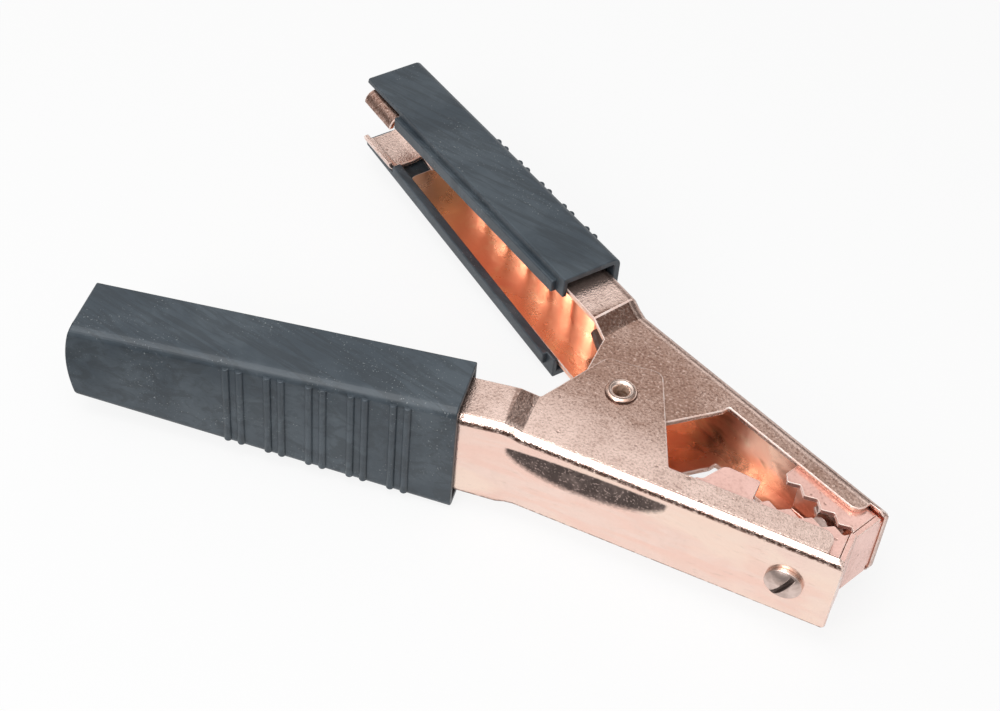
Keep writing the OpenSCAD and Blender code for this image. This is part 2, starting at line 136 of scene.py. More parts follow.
class Term:
    """A value in a shader graph that can be written in sums."""

    def __init__(self, graph: "Graph", socket: bpy.types.NodeSocket) -> None:
        """Keeps the graph and the socket that carries the value."""
        self.graph = graph
        self.socket = socket

    def _math(self, operation: str, first: Any, second: Any = 0.0) -> "Term":
        """Adds one Math node.

        Args:
            operation: The node's operation.
            first: Its first value, a number or a term.
            second: Its second value.

        Returns:
            The node's value as a term.
        """
        return self.graph.node("ShaderNodeMath", {"operation": operation}, {0: first, 1: second})

    def __add__(self, other: Any) -> "Term":
        """Sum."""
        return self._math("ADD", self, other)

    __radd__ = __add__

    def __sub__(self, other: Any) -> "Term":
        """Difference."""
        return self._math("SUBTRACT", self, other)

    def __rsub__(self, other: Any) -> "Term":
        """Difference from a number."""
        return self._math("SUBTRACT", other, self)

    def __mul__(self, other: Any) -> "Term":
        """Product."""
        return self._math("MULTIPLY", self, other)

    __rmul__ = __mul__

    def __pow__(self, other: Any) -> "Term":
        """Power."""
        return self._math("POWER", self, other)

    def larger(self, other: Any) -> "Term":
        """The larger of two values."""
        return self._math("MAXIMUM", self, other)

    def clamp(self) -> "Term":
        """Held between 0 and 1."""
        return self._math("MINIMUM", self._math("MAXIMUM", self, 0.0), 1.0)

    def step(self, low: float, high: float) -> "Term":
        """Smooth step from 0 at low to 1 at high."""
        settings = {"interpolation_type": "SMOOTHSTEP"}
        return self.graph.node("ShaderNodeMapRange", settings, {0: self, 1: low, 2: high, 3: 0.0, 4: 1.0})


class Graph:
    """The nodes of one material or world."""

    def __init__(self, tree: bpy.types.NodeTree) -> None:
        """Clears the tree, ready for new nodes."""
        self.tree = tree
        tree.nodes.clear()

    def node(self, kind: str, settings: dict[str, Any] | None = None, sockets: dict[Any, Any] | None = None,
             output: int | str = 0) -> Term:
        """Adds any node.

        Args:
            kind: The node's type.
            settings: Its own settings, set before its sockets.
            sockets: Values or terms by socket name or place.
            output: The output to return.

        Returns:
            The chosen output as a term.
        """
        made = self.tree.nodes.new(kind)
        for name, value in (settings or {}).items():
            setattr(made, name, value)
        for place, value in (sockets or {}).items():
            target = made.inputs[place]
            if isinstance(value, Term):
                self.tree.links.new(value.socket, target)
            elif isinstance(value, tuple) and len(value) == 3 and target.type == "RGBA":
                target.default_value = (*value, 1.0)
            else:
                target.default_value = value
        return Term(self, made.outputs[output])

    def place(self) -> Term:
        """Object coordinates in millimetres."""
        raw = self.node("ShaderNodeTexCoord", output="Object")
        return self.node("ShaderNodeVectorMath", {"operation": "SCALE"}, {0: raw, "Scale": 1.0 / MM})

    def reach(self, place: Term, origin: Point, way: Point) -> Term:
        """Distance of a place from an origin along a direction."""
        offset = self.node("ShaderNodeVectorMath", {"operation": "SUBTRACT"}, {0: place, 1: origin})
        return self.node("ShaderNodeVectorMath", {"operation": "DOT_PRODUCT"}, {0: offset, 1: way}, "Value")

    def radius(self, place: Term) -> Term:
        """Distance of a place from the rivet's axis."""
        flat = self.node("ShaderNodeVectorMath", {"operation": "MULTIPLY"}, {0: place, 1: (1.0, 1.0, 0.0)})
        return self.node("ShaderNodeVectorMath", {"operation": "LENGTH"}, {0: flat}, "Value")

    def height(self, place: Term) -> Term:
        """The place's Z."""
        return self.node("ShaderNodeSeparateXYZ", None, {0: place}, "Z")

    def noise(self, place: Term, size: float, detail: float = 2.0, roughness: float = 0.5,
              distortion: float = 0.0) -> Term:
        """Noise between 0 and 1.

        Args:
            place: Coordinates in millimetres.
            size: Size of its largest features in millimetres.
            detail: Number of finer layers.
            roughness: Weight of the finer layers.
            distortion: How far the pattern is bent.

        Returns:
            The noise value.
        """
        sockets = {"Vector": place, "Scale": 1.0 / size, "Detail": detail, "Roughness": roughness,
                   "Distortion": distortion}
        return self.node("ShaderNodeTexNoise", None, sockets)

    def stretched(self, place: Term, factors: Point, turn: float = 0.0) -> Term:
        """Coordinates scaled by their own factor each way, after a turn about Z in radians."""
        sockets = {"Vector": place, "Rotation": (0.0, 0.0, turn), "Scale": factors}
        return self.node("ShaderNodeMapping", {"vector_type": "POINT"}, sockets)

    def blend(self, factor: Any, first: Any, second: Any) -> Term:
        """Colour between two colours."""
        sockets = {"Factor": factor, 6: first, 7: second}
        return self.node("ShaderNodeMix", {"data_type": "RGBA"}, sockets, 2)

    def bump(self, height: Term) -> Term:
        """Normal bent by a height in millimetres."""
        return self.node("ShaderNodeBump", None, {"Height": height, "Distance": MM, "Strength": 1.0})

    def surface(self, sockets: dict[str, Any]) -> None:
        """Joins a Principled surface to the material's output."""
        self.finish("ShaderNodeOutputMaterial", self.node("ShaderNodeBsdfPrincipled", None, sockets))

    def finish(self, kind: str, shader: Term) -> None:
        """Adds the output node and joins the shader to it."""
        made = self.tree.nodes.new(kind)
        self.tree.links.new(shader.socket, made.inputs["Surface"])


def new_material(name: str) -> tuple[bpy.types.Material, Graph]:
    """An empty material with its graph."""
    material = bpy.data.materials.new(name)
    material.use_nodes = True
    return material, Graph(material.node_tree)


# ---- finishes


@dataclass(frozen=True)
class PaintedDarkReflection:
    """Painted dark reflection on a lever's web, a long band straight above and bowed below, in millimetres along the
    jaw.
    """

    start: float = -1.2
    length: float = 33.6
    depth: float = 6.4

    def mask(self, graph: Graph, place: Term, side: int) -> Term:
        """Makes the mask of the painted dark reflection.

        Args:
            graph: The material's graph.
            place: Coordinates in millimetres.
            side: Side of the middle line.

        Returns:
            1 in the painted dark reflection and 0 outside it.
        """
        along = graph.reach(place, BEND.corner(side), BEND.jaw_forward(side))
        share = ((along - self.start) * (1.0 / self.length)).clamp()
        bow = ((share * (1.0 - share)) * 4.0 + 0.0001) ** 0.6
        ragged = (graph.noise(place, 0.7, 3.0, 0.75) - 0.5) * 1.6
        top = 6.3 + along * 0.12 - along * along * 0.0022
        down = top - graph.height(place) + ragged * 0.25
        low_edge = bow * self.depth - down + ragged * 1.3
        web = 1.0 - graph.reach(place, BEND.corner(side), BEND.jaw_inward(side)).step(0.6, 0.9)
        ends = (share * (1.0 - share)).step(0.004, 0.03)
        return down.step(-0.2, 0.3) * low_edge.step(-1.1, 0.9) * ends * web


@dataclass(frozen=True)
class PlatingMasks:
    """Where the plating changes, each a term that is 0 where it has no say. On a lever, inward, low and the painted
    dark lines are painted shade and reflections.
    """

    inward: Term
    web: Term
    wing: Term
    low: Term
    dark_lines: Term


@dataclass(frozen=True)
class CopperPlating:
    """Thin bright copper on pressed steel: less mottled by the long bends, and further in from a lever's web browner
    with painted shade and more pebbled.
    """

    name: str
    side: int = 0
    pale: Colour = (0.93, 0.70, 0.61)
    rose: Colour = (0.43, 0.265, 0.205)
    brown: Colour = (0.19, 0.095, 0.068)
    blush: Colour = (0.93, 0.60, 0.50)
    cream: Colour = (0.97, 0.77, 0.64)
    roughness: float = 0.15
    metal: float = 0.9
    mottling: float = 0.45
    speckle: float = 0.9
    # weight of the inward mask: painted shade on a lever, random stains on an insert
    inward_shade_and_stain: float = 0.85
    shade_reach: Span = (4.0, 21.0)
    jaw_stain: float = 0.0
    pebble: float = 0.09
    dark_reflection: PaintedDarkReflection | None = None

    def build(self) -> bpy.types.Material:
        """Makes the material.

        Returns:
            The finished material.
        """
        material, graph = new_material(self.name)
        place = graph.place()
        cloud = graph.noise(place, 12.0, 4.0, 0.6, 0.8).step(0.36, 0.70)
        patch = graph.noise(graph.stretched(place, (1.0, 1.3, 0.6)), 4.5, 5.0, 0.62, 1.2).step(0.45, 0.74)
        fine = graph.noise(place, 0.5, 2.0, 0.65)
        dark_dots = 1.0 - fine.step(0.32, 0.52)
        light_dots = fine.step(0.56, 0.72)
        pits = graph.noise(place, 1.5, 1.0, 0.4).step(0.73, 0.78)
        lines = graph.noise(graph.stretched(place, (0.12, 2.2, 2.2), 0.2), 1.3, 3.0, 0.6).step(0.62, 0.72)
        drift = graph.noise(graph.stretched(place, (0.35, 1.0, 1.6), 0.2), 7.0, 3.0, 0.55, 0.6).step(0.38, 0.68)
        warm = graph.noise(graph.stretched(place, (0.6, 1.0, 1.2)), 13.0, 3.0, 0.5, 0.4).step(0.46, 0.64)
        masks = self._lever_masks(graph, place) if self.side else self._insert_masks(graph, place)
        web, wing = masks.web, masks.wing
        stain = (cloud * 0.45 + patch * 0.55) * self.mottling
        # inward: on a lever, painted shade further in from the web; on an insert, random stains
        stain = (stain * (1.0 - web * 0.8) + masks.inward * self.inward_shade_and_stain + wing * 0.6).clamp()
        tone = graph.blend(stain, self.pale, self.rose)
        tone = graph.blend(web * drift * 0.6, tone, self.blush)
        tone = graph.blend(web * warm * 0.6, tone, self.cream)
        grit = dark_dots * (0.22 + stain * 0.55) * (1.0 - web * 0.9) * self.speckle + wing * 0.45
        # brown darkening from grit, pits, lines, the painted shade of the low strip and the painted dark lines
        dark = grit + pits * 0.5 * (1.0 - web) + lines * 0.10 + masks.low * 0.35 + masks.dark_lines * 0.5
        tone = graph.blend(dark.clamp(), tone, self.brown)
        tone = graph.blend(light_dots * 0.62 * (1.0 - web), tone, self.pale)
        rough = self.roughness + stain * 0.12 + grit * 0.16 + cloud * 0.04
        ripple = graph.noise(place, 7.0, 2.0, 0.5) * 0.06 + fine * (self.pebble * (1.0 - web * 0.8)) \
            + graph.noise(place, 1.6, 3.0, 0.6) * 0.02 - pits * (1.0 - web) * 0.04 - lines * 0.004
        # painted dark reflection across the outer web: near black with pale specks, and rougher
        if self.dark_reflection:
            mask = self.dark_reflection.mask(graph, place, self.side)
            dark_tone = graph.blend((light_dots + patch * 0.25).clamp(), (0.055, 0.038, 0.034), (0.50, 0.37, 0.33))
            tone = graph.blend(mask * 0.97, tone, dark_tone)
            rough = rough + mask * 0.25
        graph.surface({
            "Base Color": tone,
            "Metallic": self.metal,
            "Roughness": rough.clamp(),
            "Normal": graph.bump(ripple),
        })
        return material

    def _lever_masks(self, graph: Graph, place: Term) -> PlatingMasks:
        """Masks of a lever, from the distance in from its web and back along its handle.

        Args:
            graph: The material's graph.
            place: Coordinates in millimetres.

        Returns:
            The masks. Among the painted dark lines are reflection bands on the inner jaw's bend and crease, painted
            shade on the joggle, and a ragged dark reflection along the outer lever's bend.
        """
        corner = BEND.corner(self.side)
        jaw = graph.reach(place, corner, BEND.jaw_inward(self.side))
        handle = graph.reach(place, corner, BEND.handle_inward(self.side))
        back = graph.reach(place, corner, BEND.handle_backward(self.side))
        depth = jaw.larger(handle)
        on_handle = back.step(0.5, 3.5)
        height = graph.height(place)
        # painted shade: browner further in from the web, most on the jaw's ears; plus the inner jaw's painted rose
        # band
        inward = depth.step(*self.shade_reach) * (1.0 - on_handle * 0.9) \
            + (1.0 - on_handle) * depth.step(2.5, 2.9) * self.jaw_stain
        # painted reflection bands on the inner jaw: a rose band, the crease line and a darkened bend
        crease = depth.step(2.3, 2.5) * (1.0 - depth.step(2.75, 2.95)) * self.jaw_stain * (1.0 - on_handle)
        bend = depth.step(0.05, 0.25) * (1.0 - depth.step(1.6, 2.4)) * self.jaw_stain
        # painted shade on the joggle
        joggle = back.step(-2.2, -1.7) * (1.0 - back.step(1.6, 2.1)) * depth.step(2.2, 2.8)
        # painted dark reflection: a ragged line along the outer lever's bend
        grime = depth.step(0.03, 0.08) * (1.0 - depth.step(0.20, 0.60)) * (1.0 - self.jaw_stain)
        grime = grime * graph.noise(place, 0.9, 4.0, 0.8).step(0.43, 0.52)
        web = 1.0 - depth.step(0.03, 0.18)
        lowest = -BEND.ear_half["outer"]
        return PlatingMasks(
            inward=inward,
            web=web,
            wing=back.step(72.5, 74.0) * height.step(-1.0, 1.0),
            # painted shade along the lowest strip of the web, by its lower bend
            low=(1.0 - height.step(lowest + 0.3, lowest + 1.5)) * web,
            dark_lines=crease + bend * 1.3 + joggle * 1.1 + grime * 1.9,
        )

    def _insert_masks(self, graph: Graph, place: Term) -> PlatingMasks:
        """Masks of an insert, which has only cloudy stains."""
        inward = graph.noise(place, 9.0, 2.0, 0.5).step(0.35, 0.7)
        none = inward * 0.0
        return PlatingMasks(inward=inward, web=none, wing=none, low=none, dark_lines=none)


@dataclass(frozen=True)
class PaintedEdgeHighlight:
    """Painted highlight on the rounded sheet edges and creases: bright, mostly diffuse copper standing in for the
    light each edge catches, dulled to rose in patches.
    """

    name: str
    bright: Colour = (1.0, 0.84, 0.77)
    rose: Colour = (0.86, 0.55, 0.45)
    roughness: float = 0.20

    def build(self) -> bpy.types.Material:
        """Makes the material."""
        material, graph = new_material(self.name)
        place = graph.place()
        # patches where the painted highlight dulls to rose
        dulled = graph.noise(place, 2.6, 4.0, 0.65).step(0.40, 0.62)
        fine = graph.noise(place, 0.5, 2.0, 0.6)
        graph.surface({
            "Base Color": graph.blend(dulled * 0.7, self.bright, self.rose),
            "Metallic": 0.15,
            "Roughness": (self.roughness + dulled * 0.12 + fine * 0.06).clamp(),
            "Normal": graph.bump(fine * 0.012),
        })
        return material


@dataclass(frozen=True)
class PaintedChannelReflections:
    """Painted light inside the channels: a saturated orange copy of the copper that stands in for light bounced
    between the walls, with painted gold highlights, red patches and dark bands of painted shade.
    """

    name: str
    orange: Colour = (1.0, 0.64, 0.48)
    gold: Colour = (1.0, 0.80, 0.58)
    red: Colour = (0.90, 0.46, 0.33)
    shade_brown: Colour = (0.24, 0.16, 0.11)
    teeth_shade: Colour = (0.42, 0.17, 0.12)
    roughness: float = 0.22

    def build(self) -> bpy.types.Material:
        """Makes the material."""
        material, graph = new_material(self.name)
        place = graph.place()
        cloud = graph.noise(place, 10.0, 4.0, 0.6, 0.8).step(0.36, 0.66)
        # painted highlight: gold towards the open back of the handles, and in random patches
        far_back = 1.0 - graph.reach(place, (0.0, 0.0, 0.0), (1.0, 0.0, 0.0)).step(-74.0, -62.0)
        glow = graph.noise(place, 6.0, 3.0, 0.55, 0.5).step(0.52, 0.74) + far_back
        fine = graph.noise(place, 0.5, 2.0, 0.65)
        tone = graph.blend(cloud * 0.75, self.orange, self.red)
        tone = graph.blend(glow.clamp() * 0.7, tone, self.gold)
        # painted shade: dark brown bands from about 8 mm ahead of the origin
        streaks = graph.noise(graph.stretched(place, (0.45, 1.4, 1.0), 0.2), 9.0, 3.0, 0.6, 0.6).step(0.50, 0.62)
        ahead = graph.reach(place, (0.0, 0.0, 0.0), (1.0, 0.0, 0.0)).step(8.0, 16.0)
        tone = graph.blend(streaks * ahead * 0.85, tone, self.shade_brown)
        # painted shade: dark red-brown towards the teeth
        by_teeth = graph.reach(place, (0.0, 0.0, 0.0), (1.0, 0.0, 0.0)).step(24.0, 36.0)
        tone = graph.blend(by_teeth * 0.75, tone, self.teeth_shade)
        graph.surface({
            "Base Color": tone,
            "Metallic": 1.0,
            "Roughness": (self.roughness + cloud * 0.10 + fine * 0.06).clamp(),
            "Normal": graph.bump(graph.noise(place, 5.0, 3.0, 0.6) * 0.12 + fine * 0.012),
        })
        return material


@dataclass(frozen=True)
class PlatedSteel:
    """Nickel-plated steel with rubbed places and random brown patches; its dark copy is painted shade in the screw
    slots.
    """

    name: str
    bright: Colour = (0.76, 0.60, 0.54)
    dull: Colour = (0.34, 0.24, 0.20)
    roughness: float = 0.26
    wear: float = 0.5

    def build(self) -> bpy.types.Material:
        """Makes the material."""
        material, graph = new_material(self.name)
        place = graph.place()
        cloud = graph.noise(place, 3.2, 4.0, 0.6, 0.6).step(0.38, 0.68)
        fine = graph.noise(place, 0.35, 3.0, 0.6)
        stain = cloud * self.wear
        graph.surface({
            "Base Color": graph.blend(stain, self.bright, self.dull),
            "Metallic": 1.0,
            "Roughness": (self.roughness + stain * 0.25 + fine * 0.08).clamp(),
            "Normal": graph.bump(fine * 0.012 + cloud * 0.01),
        })
        return material


@dataclass(frozen=True)
class RolledRim:
    """Rivet steel with a coppery flush and brown rings where its rim was rolled down."""

    name: str
    bright: Colour = (0.90, 0.74, 0.66)
    copper: Colour = (0.66, 0.38, 0.28)
    brown: Colour = (0.12, 0.07, 0.055)
    roughness: float = 0.18

    def build(self) -> bpy.types.Material:
        """Makes the material."""
        material, graph = new_material(self.name)
        place = graph.place()
        cloud = graph.noise(place, 1.8, 3.0, 0.6, 0.6).step(0.38, 0.66)
        fine = graph.noise(place, 0.35, 3.0, 0.6)
        out = graph.radius(place) + (fine - 0.5) * 0.12
        groove = out.step(2.28, 2.38) * (1.0 - out.step(2.46, 2.56))
        foot = out.step(3.02, 3.12)
        tone = graph.blend((cloud * 0.5 + out.step(2.3, 2.7) * 0.4).clamp(), self.bright, self.copper)
        tone = graph.blend((groove * 0.8 + foot * 0.9).clamp(), tone, self.brown)
        graph.surface({
            "Base Color": tone,
            "Metallic": 0.9,
            "Roughness": (self.roughness + cloud * 0.1 + groove * 0.2).clamp(),
            "Normal": graph.bump(fine * 0.012 - groove * 0.12),
        })
        return material


@dataclass(frozen=True)
class PaintedBoreLight:
    """Painted light inside the rivet's bore: a dull tan, partly diffuse copy that stands in for the light falling
    down the hole.
    """

    name: str
    tan: Colour = (0.80, 0.60, 0.48)
    brown: Colour = (0.30, 0.17, 0.11)

    def build(self) -> bpy.types.Material:
        """Makes the material."""
        material, graph = new_material(self.name)
        place = graph.place()
        cloud = graph.noise(place, 1.6, 3.0, 0.6).step(0.38, 0.66)
        graph.surface({
            "Base Color": graph.blend(cloud, self.tan, self.brown),
            "Metallic": 0.35,
            "Roughness": (0.35 + cloud * 0.2).clamp(),
            "Normal": graph.bump(cloud * 0.02),
        })
        return material


@dataclass(frozen=True)
class SpringWire:
    """Drawn and blued spring wire with a little rust bloom."""

    name: str
    grey: Colour = (0.30, 0.30, 0.31)
    bloom: Colour = (0.20, 0.12, 0.08)
    roughness: float = 0.38

    def build(self) -> bpy.types.Material:
        """Makes the material."""
        material, graph = new_material(self.name)
        place = graph.place()
        cloud = graph.noise(place, 2.2, 4.0, 0.65).step(0.48, 0.72)
        fine = graph.noise(place, 0.3, 2.0, 0.5)
        graph.surface({
            "Base Color": graph.blend(cloud * 0.6, self.grey, self.bloom),
            "Metallic": 0.85,
            "Roughness": (self.roughness + cloud * 0.2).clamp(),
            "Normal": graph.bump(fine * 0.015),
        })
        return material


@dataclass(frozen=True)
class MouldedPlastic:
    """Slate-grey soft plastic with a satin skin, scuffs and dust."""

    name: str
    slate: Colour = (0.043, 0.058, 0.073)
    pale: Colour = (0.095, 0.117, 0.136)
    dark_tone: Colour = (0.022, 0.028, 0.034)
    dust: Colour = (0.34, 0.37, 0.38)
    roughness: float = 0.42

    def build(self) -> bpy.types.Material:
        """Makes the material."""
        material, graph = new_material(self.name)
        place = graph.place()
        cloud = graph.noise(place, 16.0, 4.0, 0.6, 0.5).step(0.36, 0.68)
        scuff = graph.noise(graph.stretched(place, (0.35, 1.6, 1.0), 0.36), 2.4, 5.0, 0.7, 0.6).step(0.56, 0.78)
        dust = graph.noise(place, 0.42, 2.0, 0.6).step(0.63, 0.76) * graph.noise(place, 9.0, 2.0).step(0.46, 0.62)
        smear = graph.noise(graph.stretched(place, (0.2, 1.8, 1.0), 0.36), 3.5, 4.0, 0.7, 0.8).step(0.42, 0.60)
        skin = graph.noise(place, 0.8, 3.0, 0.55)
        wave = graph.noise(place, 11.0, 2.0, 0.5)
        tone = graph.blend(cloud * 0.6 + scuff * 0.4, self.slate, self.pale)
        tone = graph.blend(smear * 0.45, tone, self.dark_tone)
        tone = graph.blend(dust * 0.8, tone, self.dust)
        graph.surface({
            "Base Color": tone,
            "Roughness": (self.roughness + cloud * 0.08 + scuff * 0.10).clamp(),
            "Specular IOR Level": 0.5,
            "Normal": graph.bump(skin * 0.018 + wave * 0.16 + scuff * 0.01),
        })
        return material


@dataclass(frozen=True)
class Finishes:
    """Every material of the clip."""

    outer_copper: CopperPlating = CopperPlating("outer_copper_plating", -1, dark_reflection=PaintedDarkReflection())
    inner_copper: CopperPlating = CopperPlating("inner_copper_plating", 1, mottling=0.5, jaw_stain=0.75)
    insert_copper: CopperPlating = CopperPlating("insert_copper_plating", pale=(0.97, 0.62, 0.54),
                                                 rose=(0.70, 0.40, 0.33), metal=0.7, speckle=0.5, mottling=0.5,
                                                 inward_shade_and_stain=0.35, pebble=0.03)
    # painted light for the inner faces of the lever and insert channels
    painted_light: PaintedChannelReflections = PaintedChannelReflections("channel_copper_painted_light")
    # painted highlight for the rounded edges of the levers and inserts
    copper_edge: PaintedEdgeHighlight = PaintedEdgeHighlight("painted_sheet_edge_highlight")
    screw_steel: PlatedSteel = PlatedSteel("screw_steel")
    rivet_steel: RolledRim = RolledRim("rolled_rivet_steel")
    # painted light for the faces of the rivet's bore
    rivet_bore: PaintedBoreLight = PaintedBoreLight("rivet_bore_sheen")
    # painted shade: a near-black copy of the steel for the faces inside each screw slot
    slot_grime: PlatedSteel = PlatedSteel("screw_slot_grime", bright=(0.24, 0.18, 0.16), dull=(0.07, 0.05, 0.045),
                                          roughness=0.5)
    wire: SpringWire = SpringWire("spring_wire")
    grip: MouldedPlastic = MouldedPlastic("slate_grip_plastic")


# ---- mesh helpers


def new_piece(name: str, mesh: bmesh.types.BMesh, material: bpy.types.Material, body: str | None,
              slot: str) -> bpy.types.Object:
    """Turns a bmesh into a piece that rides on a body.

    Args:
        name: The piece's name.
        mesh: Its shape, which is freed.
        material: Its material.
        body: The body it rides on, or None for a piece that rides on none.
        slot: Not used.

    Returns:
        The new object.
    """
    data = bpy.data.meshes.new(name)
    mesh.to_mesh(data)
    mesh.free()
    data.materials.append(material)
    piece = bpy.data.objects.new(name, data)
    bpy.context.scene.collection.objects.link(piece)
    if body:
        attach(piece, body)
    return piece


@dataclass(frozen=True)
class Nudge:
    """Shift of a part of an outline towards or from the web, within bounds along and in from a jaw."""

    along: Span
    depth: Span
    shift: float

    def apply(self, mesh: bmesh.types.BMesh, side: int) -> None:
        """Moves the vertices inside the bounds, in millimetres in the jaw's frame.

        Args:
            mesh: The copied shape.
            side: Side of the middle line that the jaw is on.
        """
        corner, forward, inward = jaw_axes(side)
        for vert in mesh.verts:
            offset = vert.co / MM - corner
            is_along = self.along[0] < offset.dot(forward) < self.along[1]
            if is_along and self.depth[0] < offset.dot(inward) < self.depth[1]:
                vert.co += inward * self.shift * MM


@dataclass(frozen=True)
class Slimming:
    """Narrowing of a screw or nut about its own axis."""

    share: float
    head_share: float = 0.8
    along: float = 56.3

    def apply(self, mesh: bmesh.types.BMesh, side: int) -> None:
        """Draws every vertex in towards the screw's axis, and lowers what stands outside the web.

        Args:
            mesh: The copied shape.
            side: Side of the middle line that the jaw is on.
        """
        corner, forward, inward = jaw_axes(side)
        centre = corner + forward * self.along
        for vert in mesh.verts:
            offset = vert.co / MM - centre
            out = forward * offset.dot(forward) + Vector((0.0, 0.0, offset.z))
            height = min(offset.dot(inward), 0.0)
            vert.co += (out * (self.share - 1.0) + inward * height * (self.head_share - 1.0)) * MM


@dataclass(frozen=True)
class FrontCorner:
    """Rounding of a jaw's front end where its lower bend runs into the web, in millimetres."""

    radius: float
    level: float

    def apply(self, mesh: bmesh.types.BMesh, side: int) -> None:
        """Draws the low front vertices in to a round of the given radius.

        Args:
            mesh: The copied shape.
            side: Side of the middle line that the jaw is on.
        """
        corner, forward, _ = jaw_axes(side)
        front = max((vert.co / MM - corner).dot(forward) for vert in mesh.verts)
        for vert in mesh.verts:
            place = vert.co / MM
            ahead = (place - corner).dot(forward) - front + self.radius
            below = self.radius - self.level - place.z
            past = math.hypot(ahead, below) - self.radius
            if ahead > 0 and below > 0 and past > 0:
                share = past / (past + self.radius)
                vert.co -= (forward * ahead - Vector((0.0, 0.0, below))) * share * MM


Trim = Nudge | Slimming | FrontCorner


@dataclass
class SoftenedCopy:
    """A CAD node's own shape with its sheet edges broken by a small round."""

    node: str
    width: float = 0.16
    segments: int = 2
    limit: float = 32.0
    crease: float = 4.0
    # second material, painted light or shade, for the faces that the test below picks
    painted_light: bpy.types.Material | None = None
    gets_painted_light: Callable[[Vector, Vector], bool] | None = None
    edge_highlight: bpy.types.Material | None = None
    trims: tuple[Trim, ...] = ()
    join_distance: float = 0.002
    flat_angle: float = 0.6
    flange_facing: float = 0.8

    def build(self, half: Half, material: bpy.types.Material, slot: str) -> bpy.types.Object:
        """Copies the node, joins its faces, rounds its edges and gives its inner faces the painted light material.

        Args:
            half: The body that carries the piece.
            material: Its finish.
            slot: The record's material slot.

        Returns:
            The piece that stands for the node.
        """
        mesh = self._joined()
        for trim in self.trims:
            trim.apply(mesh, half.side)
        mesh.normal_update()
        for face in mesh.faces:
            face.smooth = True
            if self.gets_painted_light and self.gets_painted_light(face.calc_center_median() / MM, face.normal):
                face.material_index = 1
        self._mark_edges(mesh)
        piece = new_piece(self.node + "_dressed", mesh, material, half.body, slot)
        if self.painted_light:
            piece.data.materials.append(self.painted_light)
        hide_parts(self.node)
        self._add_modifiers(piece)
        LOG.info("%s: %d faces before its bevel", piece.name, len(piece.data.polygons))
        return piece

    def _joined(self) -> bmesh.types.BMesh:
        """A copy of the node's mesh in the part's frame, with the triangles of each flat face joined."""
        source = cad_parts[self.node]
        mesh = bmesh.new()
        mesh.from_mesh(source.data)
        bmesh.ops.transform(mesh, matrix=source.matrix_world, verts=mesh.verts)
        bmesh.ops.remove_doubles(mesh, verts=mesh.verts, dist=self.join_distance * MM)
        bmesh.ops.dissolve_degenerate(mesh, edges=mesh.edges, dist=self.join_distance * MM)
        flat = math.radians(self.flat_angle)
        bmesh.ops.dissolve_limit(mesh, angle_limit=flat, verts=mesh.verts, edges=mesh.edges)
        return mesh

    def _mark_edges(self, mesh: bmesh.types.BMesh) -> None:
        """Marks creases and corners sharp, and gives the outer corners a bevel."""
        # bevel weight of the convex corners, whose rounds take the painted edge highlight
        dulled = mesh.edges.layers.float.new("bevel_weight_edge")
        for edge in mesh.edges:
            if len(edge.link_faces) != 2:
                continue
            turn = edge.calc_face_angle()
            is_flange = all(abs(face.normal.z) > self.flange_facing for face in edge.link_faces)
            if is_flange and turn > math.radians(self.crease):
                edge.smooth = False
            if turn > math.radians(self.limit):
                edge.smooth = False
                edge[dulled] = 1.0 if edge.is_convex else 0.0

    def _add_modifiers(self, piece: bpy.types.Object) -> None:
        """Rounds the marked corners, painted with the edge highlight if there is one, and keeps the sheet's faces
        flat.
        """
        bevel = piece.modifiers.new("broken_edges", "BEVEL")
        bevel.width = self.width * MM
        bevel.segments = self.segments
        bevel.limit_method = "WEIGHT"
        bevel.use_clamp_overlap = False
        if self.edge_highlight:
            piece.data.materials.append(self.edge_highlight)
            bevel.material = len(piece.data.materials) - 1
        shading = piece.modifiers.new("flat_sheet_shading", "WEIGHTED_NORMAL")
        shading.weight = 100
        shading.keep_sharp = True


# ---- the clip's sub-assemblies


